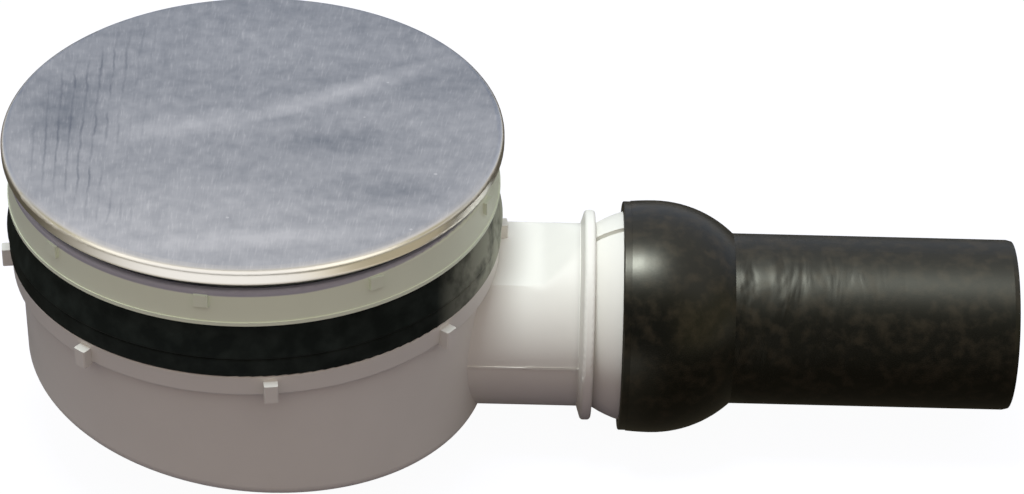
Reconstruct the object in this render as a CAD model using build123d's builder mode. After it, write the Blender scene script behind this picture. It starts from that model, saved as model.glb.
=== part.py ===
from build123d import *
from math import atan2, cos, radians, sin, sqrt, tan
import os

# Low shower trap for a 90 mm tray hole, with a ball-jointed 40 mm outlet.
# Millimetres, +Z up, +X along the outlet. The origin is on the trap's axis,
# in the plane of the tray, where the two rubber seals clamp it.

# Stack of rings above and below the tray
upper_seal_height = 8.7
lower_seal_height = 4.9
flange_height = 8.55
slot_height = 2.15
tray_hole_radius = 45.0
tray_overlap = 11.1

# Pressed steel cover
cover_overhang = 0.9
cover_sheet = 0.8
cover_edge_height = 4.6
cover_edge_radius = 1.8
cover_curl_radius = 1.4
cover_crown = 0.4

# Holder clipped into the cover
carrier_thickness = 2.7
carrier_ring_width = 8.0
carrier_hub_radius = 10.0
carrier_clearance = 0.05
spoke_count = 4
spoke_width = 6.0
foot_depth = 3.5

# White flange ring with its sleeve
flange_taper = 0.5
flange_rim_width = 1.6
flange_edge_radius = 0.8
flange_lip_height = 0.9
flange_lip_proud = 0.2
flange_web = 3.8
flange_wall = 2.6
ledge_width = 6.0
sleeve_wall = 3.6
sleeve_depth = 18.0
sleeve_clearance = 1.4
pad_count = 9
pad_phase = 22.5
pad_width = 3.2
pad_height = 3.0
pad_proud = 0.45
pad_root = 1.0

# Rubber seals
upper_seal_inset = 0.8
upper_seal_flare = 1.8
lower_seal_proud = 0.6
seal_edge_radius = 0.6
seal_clearance = 0.3

# Trap body: rim, bowl and sloping floor
rim_proud = 0.3
rim_height = 5.1
rim_taper = 0.2
rim_edge_radius = 0.5
bowl_step = 1.9
bowl_draft = 0.8
body_wall = 2.5
floor_depth = 40.4
floor_slope = 6.0
floor_edge_radius = 3.0
thread_clearance = 0.4
thread_wall = 2.5
lug_count = 8
lug_phase = 7.4
lug_width = 3.1
lug_height = 4.4
lug_proud = 2.2
lug_drop = 1.3
lug_edge_radius = 0.4

# Outlet neck, collar and ball
neck_radius = 21.5
neck_wall = 2.5
neck_crown_drop = 0.6
trough_start = 30.0
neck_reach = 18.8
neck_flat_drop = 4.3
neck_flat_length = 10.1
neck_flat_run = 8.5
neck_flat_clear = 0.1
collar_width = 3.4
collar_inset = 0.9
collar_tip_width = 2.4
collar_edge_radius = 0.9
parting_ridge = 0.2
parting_width = 0.5
ball_radius = 25.6
groove_width = 1.8
groove_depth = 1.0
groove_length = 11.0

# Rubber ring between ball and socket
ball_seal_section = 1.3
ball_seal_fit = 0.1

# Black socket and outlet pipe
socket_clearance = 0.35
socket_wall = 1.35
socket_mouth_lead = 7.5
socket_lip_width = 1.9
socket_lip_inset = 0.4
socket_lip_step = 0.15
socket_lip_edge = 0.4
pipe_radius = 20.0
pipe_wall = 3.0
pipe_length = 65.4
pipe_chamfer_length = 1.2
pipe_chamfer_depth = 0.3

# Lift-out insert: dip tube, its O-ring and the siphon cup
insert_plate = 2.8
insert_fall = 0.9
insert_clearance = 0.3
insert_seat = 4.0
insert_seat_width = 2.5
plug_depth = 7.0
plug_wall = 4.0
ring_groove_depth = 1.6
ring_groove_gap = 0.05
dip_radius = 16.0
dip_wall = 2.0
dip_inlet_flare = 3.0
grip_bar_width = 1.6
grip_bar_height = 5.0
cup_radius = 27.0
cup_wall = 1.8
cup_floor_gap = 0.9
cup_passage = 6.2
cup_weir_drop = 5.5
vane_count = 3
vane_width = 1.8
vane_clearance = 0.1
vane_shelf = 1.5

# Heights worked out from the stack
flange_bottom = upper_seal_height
flange_top = flange_bottom + flange_height
cover_bottom = flange_top + slot_height
cover_top = cover_bottom + cover_edge_height
ledge_top = flange_bottom + flange_web
rim_top = -lower_seal_height
rim_bottom = rim_top - rim_height
neck_crown = rim_top - neck_crown_drop
axis_height = neck_crown - neck_radius
flat_height = neck_crown - neck_flat_drop

# Outer radii, which all follow the tray hole and the flange's overlap
flange_radius = tray_hole_radius + tray_overlap
cover_radius = flange_radius + cover_overhang
upper_seal_top_radius = flange_radius - upper_seal_inset
lower_seal_radius = flange_radius + lower_seal_proud
rim_radius = flange_radius + rim_proud

# Radii that fit into each other
sleeve_radius = tray_hole_radius - sleeve_clearance
insert_bore = sleeve_radius - sleeve_wall
plug_bore = insert_bore - insert_seat_width
ledge_radius = insert_bore + ledge_width
thread_radius = sleeve_radius + thread_clearance
thread_collar_radius = thread_radius + thread_wall
thread_depth = sleeve_depth + thread_clearance
bowl_radius = rim_radius - rim_taper - bowl_step
bore_radius = neck_radius - neck_wall

# Places along the outlet, measured from the trap's axis
flat_end = rim_radius + neck_flat_length
ramp_end = flat_end + neck_flat_run
ramp_shift = neck_wall * tan(atan2(neck_flat_drop, neck_flat_run) / 2)
collar_start = rim_radius + neck_reach
collar_radius = ball_radius - collar_inset
collar_end = collar_start + collar_width
ball_half = sqrt(ball_radius**2 - neck_radius**2)
ball_x = collar_end + ball_half
ball_end = ball_x + ball_half
socket_inner = ball_radius + socket_clearance
socket_outer = socket_inner + socket_wall
mouth_x = ball_x - socket_mouth_lead
pipe_start = ball_x + sqrt(socket_outer**2 - pipe_radius**2)
pipe_end = pipe_start + pipe_length
pipe_bore = pipe_radius - pipe_wall
outlet_plane = Plane((0, 0, axis_height), x_dir=(1, 0, 0), z_dir=(0, -1, 0))
outlet_axis = Axis((0, 0, axis_height), (1, 0, 0))

# The bowl's floor falls towards the outlet
floor_normal = (sin(radians(floor_slope)), 0, cos(radians(floor_slope)))
floor_plane = Plane((0, 0, -floor_depth), z_dir=floor_normal)
floor_inside_plane = floor_plane.offset(body_wall)
floor_inside = body_wall / cos(radians(floor_slope)) - floor_depth
cup_bottom = floor_inside + cup_radius * tan(radians(floor_slope)) + cup_floor_gap
cup_floor = cup_bottom + cup_wall
dip_bottom = cup_floor + cup_passage
cup_top = insert_seat - cup_weir_drop
below_floor = -floor_depth - rim_radius

os.makedirs("parts", exist_ok=True)

# Steel cover: a shallow crown, a round edge and a rolled lower rim
with BuildPart() as cover_plate:
    with BuildSketch(Plane.XZ):
        with BuildLine():
            edge_r = cover_radius - cover_edge_radius
            edge_z = cover_top - cover_edge_radius
            curl_r = cover_radius - cover_curl_radius
            curl_z = cover_bottom + cover_curl_radius
            edge_inner = cover_edge_radius - cover_sheet
            curl_inner = cover_curl_radius - cover_sheet
            TangentArc((0, cover_top + cover_crown), (edge_r, cover_top), tangent=(1, 0))
            CenterArc((edge_r, edge_z), cover_edge_radius, 0, 90)
            Line((cover_radius, edge_z), (cover_radius, curl_z))
            CenterArc((curl_r, curl_z), cover_curl_radius, -90, 90)
            Line((curl_r, cover_bottom), (curl_r, cover_bottom + cover_sheet))
            CenterArc((curl_r, curl_z), curl_inner, -90, 90)
            Line((cover_radius - cover_sheet, curl_z), (cover_radius - cover_sheet, edge_z))
            CenterArc((edge_r, edge_z), edge_inner, 0, 90)
            crown_inside = cover_top + cover_crown - cover_sheet
            TangentArc((0, crown_inside), (edge_r, cover_top - cover_sheet), tangent=(1, 0))
            Line((0, crown_inside), (0, cover_top + cover_crown))
        make_face()
    revolve(axis=Axis.Z)
cover_plate.part.label = "cover_plate"
export_step(cover_plate.part, "parts/cover_plate.step")

# Holder under the cover: hub, spokes and ring, with feet that stand in the flange
with BuildPart() as cover_carrier:
    carrier_top = cover_top - cover_sheet - carrier_clearance
    carrier_bottom = carrier_top - carrier_thickness
    carrier_radius = cover_radius - cover_curl_radius - seal_clearance
    with BuildSketch(Plane.XY.offset(carrier_bottom)):
        Circle(carrier_radius)
        Circle(carrier_radius - carrier_ring_width, mode=Mode.SUBTRACT)
        Circle(carrier_hub_radius)
        with PolarLocations(carrier_radius / 2, spoke_count, start_angle=180 / spoke_count):
            Rectangle(carrier_radius - carrier_hub_radius, spoke_width)
    extrude(amount=carrier_thickness)
    top_rim = edges().filter_by(GeomType.CIRCLE).group_by(Axis.Z)[-1].sort_by(SortBy.RADIUS)[-1]
    fillet(top_rim, radius=cover_edge_radius - cover_sheet)
    with BuildSketch(Plane.XY.offset(ledge_top)):
        foot_radius = insert_bore + ledge_width / 2
        with PolarLocations(foot_radius, spoke_count, start_angle=180 / spoke_count):
            Rectangle(foot_depth, spoke_width)
    extrude(amount=carrier_bottom - ledge_top)
cover_carrier.part.label = "cover_carrier"
export_step(cover_carrier.part, "parts/cover_carrier.step")

# Flange ring: funnel, cored underside, sleeve and the pads at its top edge
with BuildPart() as flange_ring:
    with BuildSketch(Plane.XZ) as flange_section:
        funnel_radius = flange_radius - flange_taper - flange_rim_width
        flange_lip_radius = flange_radius + flange_lip_proud
        lip_top = flange_bottom + flange_lip_height
        funnel_pitch = (flange_top - ledge_top) / (funnel_radius - ledge_radius)
        core_outer = flange_radius - flange_wall
        core_inner = sleeve_radius + flange_wall
        core_drop = flange_wall * sqrt(1 + funnel_pitch**2)
        core_top = ledge_top + funnel_pitch * (core_outer - ledge_radius) - core_drop
        with BuildLine():
            Polyline(
                (plug_bore, -sleeve_depth),
                (plug_bore, insert_seat),
                (insert_bore, insert_seat),
                (insert_bore, ledge_top),
                (ledge_radius, ledge_top),
                (funnel_radius, flange_top),
                (flange_radius - flange_taper, flange_top),
                (flange_radius, lip_top),
                (flange_lip_radius, lip_top),
                (flange_lip_radius, flange_bottom),
                (core_outer, flange_bottom),
                (core_outer, core_top),
                (core_inner, ledge_top - core_drop),
                (core_inner, flange_bottom),
                (sleeve_radius, flange_bottom),
                (sleeve_radius, -sleeve_depth),
                close=True,
            )
        make_face()
        top_edge = flange_section.vertices().group_by(Axis.Y)[-1].sort_by(Axis.X)[-1]
        fillet(top_edge, radius=flange_edge_radius)
    revolve(axis=Axis.Z)
    pad_top = flange_top - flange_edge_radius
    with BuildSketch(Plane.XY.offset(pad_top - pad_height)):
        pad_centre = flange_radius + (pad_proud - pad_root) / 2
        with PolarLocations(pad_centre, pad_count, start_angle=pad_phase):
            Rectangle(pad_proud + pad_root, pad_width)
    extrude(amount=pad_height)
flange_ring.part.label = "flange_ring"
export_step(flange_ring.part, "parts/flange_ring.step")

# Upper seal: flares outward to its lower edge
with BuildPart() as upper_seal:
    with BuildSketch(Plane.XZ) as upper_section:
        upper_seal_bore = sleeve_radius + seal_clearance
        with BuildLine():
            Polyline(
                (upper_seal_bore, 0),
                (upper_seal_bore, upper_seal_height),
                (upper_seal_top_radius, upper_seal_height),
                (upper_seal_top_radius + upper_seal_flare, 0),
                close=True,
            )
        make_face()
        fillet(upper_section.vertices().sort_by(Axis.X)[-2:], radius=seal_edge_radius)
    revolve(axis=Axis.Z)
upper_seal.part.label = "upper_seal"
export_step(upper_seal.part, "parts/upper_seal.step")

# Lower seal: a plain ring on the trap's rim
with BuildPart() as lower_seal:
    with BuildSketch(Plane.XZ) as lower_section:
        lower_seal_bore = sleeve_radius + seal_clearance
        with BuildLine():
            Polyline(
                (lower_seal_bore, rim_top),
                (lower_seal_bore, 0),
                (lower_seal_radius, 0),
                (lower_seal_radius, rim_top),
                close=True,
            )
        make_face()
        fillet(lower_section.vertices().sort_by(Axis.X)[-2:], radius=seal_edge_radius)
    revolve(axis=Axis.Z)
lower_seal.part.label = "lower_seal"
export_step(lower_seal.part, "parts/lower_seal.step")

# Space inside the bowl, under the rim and round the threaded collar
with BuildPart() as water_space:
    with BuildSketch(Plane.XZ):
        inner_radius = bowl_radius - body_wall
        with BuildLine():
            Polyline(
                (0, 0),
                (thread_radius, 0),
                (thread_radius, -thread_depth),
                (thread_collar_radius, -thread_depth),
                (thread_collar_radius, rim_top - body_wall),
                (inner_radius, rim_top - body_wall),
                (inner_radius - bowl_draft, below_floor),
                (0, below_floor),
                close=True,
            )
        make_face()
    revolve(axis=Axis.Z)
    split(bisect_by=floor_inside_plane, keep=Keep.TOP)
    fillet(faces().sort_by(Axis.Z)[0].edges(), radius=floor_edge_radius - body_wall / 2)

# Space over the flat top of the neck, from the rim to a ramp that ends at the collar
with BuildPart() as flat_space:
    with BuildSketch(Plane.XZ):
        with BuildLine():
            Polyline(
                (0, flat_height),
                (flat_end, flat_height),
                (ramp_end, neck_crown + neck_flat_clear),
                (0, neck_crown + neck_flat_clear),
                close=True,
            )
        make_face()
    extrude(amount=neck_radius, both=True)

# Bore of the neck and ball, a wall below the flat, with a half-round trough in the bowl's floor
with BuildPart() as outlet_bore:
    bore_start = thread_collar_radius + thread_clearance
    with BuildSketch(outlet_plane):
        with Locations(((bore_start + ball_end) / 2, bore_radius / 2)):
            Rectangle(ball_end - bore_start, bore_radius)
    revolve(axis=outlet_axis)
    with Locations((ramp_shift, 0, -neck_wall)):
        add(flat_space.part, mode=Mode.SUBTRACT)
    with BuildSketch(Plane(outlet_plane.origin, x_dir=(1, 0, 0), z_dir=(0, 0, -1))):
        with BuildLine():
            Line((trough_start - bore_radius, 0), (bore_start, 0))
            Line((bore_start, 0), (bore_start, bore_radius))
            Line((bore_start, bore_radius), (trough_start, bore_radius))
            CenterArc((trough_start, 0), bore_radius, 90, 90)
        make_face()
    revolve(axis=outlet_axis, revolution_arc=180)

# Index groove along the top of the ball
with BuildPart() as index_groove:
    with BuildSketch(Plane.XY.offset(axis_height)):
        with Locations((collar_end + groove_length / 2, 0)):
            Rectangle(groove_length, groove_width)
    extrude(amount=ball_radius + groove_depth)
    with BuildSketch(outlet_plane):
        with BuildLine():
            CenterArc((ball_x, 0), ball_radius - groove_depth, 0, 180)
            Line((ball_x - ball_radius + groove_depth, 0), (ball_x + ball_radius - groove_depth, 0))
        make_face()
    revolve(axis=outlet_axis, mode=Mode.SUBTRACT)

# Outlet neck with its flat top, collar and ball
with BuildPart() as outlet_neck:
    with BuildSketch(outlet_plane) as neck_section:
        with BuildLine():
            CenterArc((trough_start, 0), neck_radius, 90, 90)
            Line((trough_start, neck_radius), (collar_start, neck_radius))
            Line((collar_start, neck_radius), (collar_end - collar_tip_width, collar_radius))
            Line((collar_end - collar_tip_width, collar_radius), (collar_end, collar_radius))
            Line((collar_end, collar_radius), (collar_end, neck_radius))
            ThreePointArc((collar_end, neck_radius), (ball_x, ball_radius), (ball_end, neck_radius))
            Line((ball_end, neck_radius), (ball_end, 0))
            Line((ball_end, 0), (trough_start - neck_radius, 0))
        make_face()
        fillet(neck_section.vertices().group_by(Axis.Y)[-1], radius=collar_edge_radius)
    revolve(axis=outlet_axis)
    add(flat_space.part, mode=Mode.SUBTRACT)

# Trap body: bowl, rim and lugs, with the neck and its parting ridge
with BuildPart() as trap_body:
    with BuildSketch(Plane.XZ) as bowl_section:
        with BuildLine():
            Polyline(
                (0, rim_top),
                (rim_radius, rim_top),
                (rim_radius - rim_taper, rim_bottom),
                (bowl_radius, rim_bottom - bowl_step / 2),
                (bowl_radius - bowl_draft, below_floor),
                (0, below_floor),
                close=True,
            )
        make_face()
        rim_corners = bowl_section.vertices().sort_by(Axis.X)[-2:]
        fillet(rim_corners, radius=rim_edge_radius)
    revolve(axis=Axis.Z)
    split(bisect_by=floor_plane, keep=Keep.TOP)
    fillet(faces().sort_by(Axis.Z)[0].edges(), radius=floor_edge_radius)
    add(outlet_neck.part)
    with BuildSketch(Plane.XY.offset(axis_height - parting_width / 2)):
        with Locations((collar_start / 2, 0)):
            Rectangle(collar_start, 2 * (neck_radius + parting_ridge))
    extrude(amount=parting_width)
    with BuildSketch(outlet_plane):
        seal_seat = ball_radius + socket_clearance - 2 * ball_seal_section - 2 * ball_seal_fit
        seal_room = 2 * (ball_seal_section + ball_seal_fit)
        with Locations((ball_x, seal_seat + seal_room / 2)):
            Rectangle(seal_room, seal_room)
    revolve(axis=outlet_axis, mode=Mode.SUBTRACT)
    add(water_space.part, mode=Mode.SUBTRACT)
    add(outlet_bore.part, mode=Mode.SUBTRACT)
    add(index_groove.part, mode=Mode.SUBTRACT)
    lug_top = rim_top - lug_drop
    with BuildSketch(Plane.XY.offset(lug_top - lug_height)):
        lug_centre = rim_radius + (lug_proud - body_wall) / 2
        with PolarLocations(lug_centre, lug_count, start_angle=lug_phase):
            RectangleRounded(lug_proud + body_wall, lug_width, lug_edge_radius)
    extrude(amount=lug_height)
trap_body.part.label = "trap_body"
export_step(trap_body.part, "parts/trap_body.step")

# Lift-out insert: plate, plug with its ring groove, dip tube and grip bars
with BuildPart() as dip_tube:
    plug_radius = plug_bore - insert_clearance
    plate_radius = insert_bore - insert_clearance
    ring_seat = plug_radius - ring_groove_depth
    ring_radius = (plug_bore - ring_seat) / 2 - ring_groove_gap
    ring_height = insert_seat - plug_depth / 2
    groove_half = ring_radius + ring_groove_gap
    plate_top = insert_seat + insert_plate
    with BuildSketch(Plane.XZ):
        with BuildLine():
            Polyline(
                (dip_radius - dip_wall, dip_bottom),
                (dip_radius - dip_wall, plate_top - insert_fall - dip_inlet_flare),
                (dip_radius - dip_wall + dip_inlet_flare, plate_top - insert_fall),
                (plate_radius, plate_top),
                (plate_radius, insert_seat),
                (plug_radius, insert_seat),
                (plug_radius, ring_height + groove_half),
                (ring_seat, ring_height + groove_half),
                (ring_seat, ring_height - groove_half),
                (plug_radius, ring_height - groove_half),
                (plug_radius, insert_seat - plug_depth),
                (plug_radius - plug_wall, insert_seat - plug_depth),
                (plug_radius - plug_wall, insert_seat),
                (dip_radius, insert_seat - insert_fall),
                (dip_radius, dip_bottom),
                close=True,
            )
        make_face()
    revolve(axis=Axis.Z)
    bar_top = plate_top - insert_fall - dip_inlet_flare
    with BuildSketch(Plane.XY.offset(bar_top - grip_bar_height)):
        bar_length = 2 * dip_radius - dip_wall
        Rectangle(bar_length, grip_bar_width)
        Rectangle(grip_bar_width, bar_length)
    extrude(amount=grip_bar_height)
dip_tube.part.label = "dip_tube"
export_step(dip_tube.part, "parts/dip_tube.step")

# O-ring in the plug's groove
with BuildPart() as insert_o_ring:
    with BuildSketch(Plane.XZ):
        with Locations(((ring_seat + plug_bore) / 2, ring_height)):
            Circle(ring_radius)
    revolve(axis=Axis.Z)
insert_o_ring.part.label = "insert_o_ring"
export_step(insert_o_ring.part, "parts/insert_o_ring.step")

# Siphon cup: its vanes hold the dip tube and carry its end on a shelf
with BuildPart() as siphon_cup:
    with BuildSketch(Plane.XZ):
        with BuildLine():
            Polyline(
                (0, cup_bottom),
                (cup_radius, cup_bottom),
                (cup_radius, cup_top),
                (cup_radius - cup_wall, cup_top),
                (cup_radius - cup_wall, cup_floor),
                (0, cup_floor),
                close=True,
            )
        make_face()
    revolve(axis=Axis.Z)
    vane_outer = cup_radius - cup_wall / 2
    vane_inner = dip_radius + vane_clearance
    shelf_inner = dip_radius - dip_wall - vane_shelf
    with BuildSketch(Plane.XY.offset(cup_floor)):
        with PolarLocations((shelf_inner + vane_outer) / 2, vane_count):
            Rectangle(vane_outer - shelf_inner, vane_width)
    extrude(amount=cup_passage)
    with BuildSketch(Plane.XY.offset(dip_bottom)):
        with PolarLocations((vane_inner + vane_outer) / 2, vane_count):
            Rectangle(vane_outer - vane_inner, vane_width)
    extrude(amount=(cup_top - dip_bottom) / 2)
siphon_cup.part.label = "siphon_cup"
export_step(siphon_cup.part, "parts/siphon_cup.step")

# Rubber ring in the ball's groove
with BuildPart() as ball_seal:
    with BuildSketch(outlet_plane):
        with Locations((ball_x, seal_seat + ball_seal_fit + ball_seal_section)):
            Circle(ball_seal_section)
    revolve(axis=outlet_axis)
ball_seal.part.label = "ball_seal"
export_step(ball_seal.part, "parts/ball_seal.step")

# Black socket: round shell with a plain lip at its mouth, then the outlet pipe
with BuildPart() as outlet_socket:
    with BuildSketch(outlet_plane) as socket_section:
        mouth_inner = sqrt(socket_inner**2 - socket_mouth_lead**2)
        lip_radius = socket_outer - socket_lip_inset
        lip_end = mouth_x + socket_lip_width
        lip_step = lip_radius + socket_lip_step
        bore_x = ball_x + sqrt(socket_inner**2 - pipe_bore**2)
        with BuildLine():
            Line((mouth_x, mouth_inner), (mouth_x, lip_radius))
            Line((mouth_x, lip_radius), (lip_end, lip_radius))
            Line((lip_end, lip_radius), (lip_end, lip_step))
            TangentArc((ball_x, socket_outer), (lip_end, lip_step), tangent=(-1, 0))
            TangentArc((ball_x, socket_outer), (pipe_start, pipe_radius), tangent=(1, 0))
            Line((pipe_start, pipe_radius), (pipe_end - pipe_chamfer_length, pipe_radius))
            pipe_tip = pipe_radius - pipe_chamfer_depth
            Line((pipe_end - pipe_chamfer_length, pipe_radius), (pipe_end, pipe_tip))
            Line((pipe_end, pipe_tip), (pipe_end, pipe_bore))
            Line((pipe_end, pipe_bore), (bore_x, pipe_bore))
            ThreePointArc((bore_x, pipe_bore), (ball_x, socket_inner), (mouth_x, mouth_inner))
        make_face()
        lip_corner = socket_section.vertices().group_by(Axis.X)[0].sort_by(Axis.Y)[-1]
        fillet(lip_corner, radius=socket_lip_edge)
    revolve(axis=outlet_axis)
outlet_socket.part.label = "outlet_socket"
export_step(outlet_socket.part, "parts/outlet_socket.step")
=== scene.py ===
from collections import namedtuple
from math import radians

import bpy
from mathutils import Matrix, Vector


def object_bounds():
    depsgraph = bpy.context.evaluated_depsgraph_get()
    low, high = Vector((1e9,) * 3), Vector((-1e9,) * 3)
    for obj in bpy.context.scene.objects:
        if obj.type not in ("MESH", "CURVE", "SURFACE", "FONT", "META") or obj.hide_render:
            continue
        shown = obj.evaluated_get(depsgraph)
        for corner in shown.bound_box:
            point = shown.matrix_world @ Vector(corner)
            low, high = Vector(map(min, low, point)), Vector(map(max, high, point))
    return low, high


bl_info = {
    "name": "Shower trap",
    "version": (1, 0, 0),
    "blender": (4, 5, 0),
    "location": "View3D > Sidebar > Shower trap",
    "description": "Dresses the packed shower trap in its finishes and sets its stage",
    "category": "Object",
}

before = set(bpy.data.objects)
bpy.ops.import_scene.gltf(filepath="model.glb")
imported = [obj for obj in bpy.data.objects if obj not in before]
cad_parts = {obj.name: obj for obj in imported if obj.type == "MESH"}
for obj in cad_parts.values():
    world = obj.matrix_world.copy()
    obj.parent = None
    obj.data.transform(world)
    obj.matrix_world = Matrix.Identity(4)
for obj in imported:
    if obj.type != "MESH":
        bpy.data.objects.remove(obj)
CAD_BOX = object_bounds()
MM = 0.001

# Most of a noise pattern lies between these two levels
NOISE_LOW = 0.3
NOISE_HIGH = 0.7
# Sockets of a Mix node: its two colours, the mixed colour, and its two plain numbers
COLOUR_A, COLOUR_B, MIXED = 6, 7, 2
NUMBER_A, NUMBER_B = 2, 3
WHITE = (1, 1, 1, 1)
BLACK = (0, 0, 0, 1)
BEVEL_SAMPLES = 8

# Soft marks on the cover: middle, half length and half width in millimetres,
# turn in degrees, and how much paler the steel is there, or darker where it is below zero
Mark = namedtuple("Mark", "x y reach width turn paler")
MARKS = (
    Mark(-13.3, -0.6, 28.0, 5.0, 18.8, 0.34),  # long smear, left half
    Mark(22.4, 16.1, 31.0, 4.5, 31.0, 0.50),   # long smear, right half
    Mark(5.0, -44.9, 34.0, 4.5, 8.0, 0.45),    # smear along the front edge
    Mark(20.0, -6.0, 19.0, 7.0, 10.0, -0.24),  # dull patch right of the middle
    Mark(34.0, -25.0, 20.0, 8.0, 3.0, -0.32),  # dull patch at the right
    Mark(-43.0, 2.0, 12.0, 18.0, 0.0, -0.40),  # dull patch at the left edge
)


def linear(hex_colour):
    """Linear red, green, blue and alpha of an sRGB hex colour."""
    parts = [int(hex_colour[i:i + 2], 16) / 255 for i in (1, 3, 5)]
    bent = [c / 12.92 if c <= 0.04045 else ((c + 0.055) / 1.055) ** 2.4 for c in parts]
    return (*bent, 1.0)


def colour(name, description, hex_colour):
    """A colour property."""
    return bpy.props.FloatVectorProperty(
        name=name, description=description, subtype="COLOR", size=4, min=0, max=1,
        default=linear(hex_colour))


def length(name, description, millimetres):
    """A length property."""
    return bpy.props.FloatProperty(
        name=name, description=description, unit="LENGTH", precision=5,
        default=millimetres * MM)


def stretch(name, description, start, end):
    """A property for the two ends of a fade along a line, in millimetres."""
    return bpy.props.FloatVectorProperty(
        name=name, description=description, unit="LENGTH", precision=5, size=2,
        default=(start * MM, end * MM))


def point(name, description, x, y, z):
    """A property for a place in the trap's frame, in millimetres."""
    return bpy.props.FloatVectorProperty(
        name=name, description=description, subtype="TRANSLATION", unit="LENGTH", size=3,
        default=(x * MM, y * MM, z * MM))


def share(name, description, value):
    """A property for a number from 0 to 1, such as a strength or a roughness."""
    return bpy.props.FloatProperty(
        name=name, description=description, subtype="FACTOR", min=0, max=1, default=value)


def span(name, description, start, end):
    """A property for the two ends of a range that has no unit."""
    return bpy.props.FloatVectorProperty(
        name=name, description=description, size=2, default=(start, end))


def angle(name, description, degrees):
    """An angle property."""
    return bpy.props.FloatProperty(
        name=name, description=description, subtype="ANGLE", default=radians(degrees))


def watts(name, description, power):
    """A property for the power of a lamp."""
    return bpy.props.FloatProperty(
        name=name, description=description, unit="POWER", precision=4, default=power)


def add_node(tree, kind, inputs=None, **settings):
    """Adds a node, sets its properties, and fills or links the inputs by name or number.

    A node that is given as an input is linked by its first output.
    """
    made = tree.nodes.new(kind)
    for name, value in settings.items():
        setattr(made, name, value)
    for key, value in (inputs or {}).items():
        if isinstance(value, bpy.types.Node):
            value = value.outputs[0]
        if isinstance(value, bpy.types.NodeSocket):
            tree.links.new(value, made.inputs[key])
        else:
            made.inputs[key].default_value = value
    return made


def new_material(name):
    """An empty node material and its tree."""
    material = bpy.data.materials.new(name)
    material.use_nodes = True
    material.node_tree.nodes.clear()
    return material, material.node_tree


def finish_nodes(material, names):
    """Puts one material on CAD nodes, which keep their own meshes."""
    for name in names:
        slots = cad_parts[name].data.materials
        slots.clear()
        slots.append(material)


class CoverFinish(bpy.types.PropertyGroup):
    """Brushed steel of the cover."""

    dark: colour("Dark steel", "Steel between the brushing strokes", "#979CA4")
    pale: colour("Pale steel", "Steel where the brush has cut", "#EAEAEB")
    # The rim's near-white colour is in part a painted highlight
    rim: colour("Rim", "Polished steel of the rounded rim", "#FAF6EF")
    rim_slope: span("Rim slope", "Normal's z where the rim starts and where it is whole", 0.92, 0.70)
    rim_rough: share("Rim roughness", "Roughness of the polished rim", 0.28)
    stroke_rough: span("Stroke roughness", "Least and most roughness of the brushed sheet", 0.28, 0.40)
    stroke_width: length("Stroke width", "Width of one brushing stroke", 0.42)
    stroke_length: length("Stroke length", "Length of one brushing stroke", 3.6)
    stroke_depth: length("Stroke depth", "Depth of the brushing strokes", 0.02)
    fan: length("Stroke fan", "How far in front of the trap the strokes would meet", 400.0)
    fan_middle: length("Fan middle", "Where the strokes run straight back", -13.0)
    hairline: share("Hairlines", "How much paler or darker the common strokes are", 0.05)
    cut: share("Cuts", "How much paler the deepest strokes are", 0.18)
    cut_level: span("Cut level", "Noise at which a deep stroke starts and is whole", 0.58, 0.76)
    # The soft bands are painted reflection
    band_width: length("Band width", "Width of the soft light and dark bands", 22.0)
    band_length: length("Band length", "Length of the soft bands", 88.0)
    band_turn: angle("Band turn", "Turn of the soft bands", -22.5)
    band_tone: span("Band tone", "Tone of the darkest and the palest band", 0.18, 0.46)
    paler_tone: share("Paling front", "How much paler the sheet is at the front", 0.40)
    paling_reach: stretch("Paling reach", "How far forward the wear starts and is full", -30.0, 60.0)
    smudge_size: length("Smudge size", "Width of the smudges", 4.0)
    smudge: share("Smudges", "How much paler or darker the smudges are", 0.13)
    fleck_spacing: length("Fleck spacing", "Distance between two bright flecks", 14.0)
    fleck_edge: stretch("Fleck edge", "Radius of a fleck's core and of its soft edge", 0.28, 0.49)
    fleck: share("Flecks", "How much paler the flecks are", 0.5)
    scratch: colour("Scratch", "Deep scratches near the cover's left edge", "#7A808C")
    scratch_strength: share("Scratch strength", "How strong the scratches are", 0.6)
    scratch_spacing: length("Scratch spacing", "Distance between two deep scratches", 2.75)
    scratch_line: stretch("Scratch line", "Half width of a scratch's core and soft edge", 0.055, 0.4125)
    scratch_wander: length("Scratch wander", "How far a scratch strays from its line", 0.9)
    scratch_bend: length("Scratch bend", "Length over which a scratch bends", 8.25)
    scratch_side: stretch("Scratch side", "Where the scratches start and are full", -20.0, -36.0)
    scratch_edge: length("Scratch edge", "Distance from the middle at which scratches end", 51.0)
    scratch_fade: length("Scratch fade", "Length over which they end", 8.0)
    scratch_break: length("Scratch break", "Length over which a scratch comes and goes", 11.0)
    break_level: span("Break level", "Noise at which a scratch starts to show and is whole", 0.36, 0.60)


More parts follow.
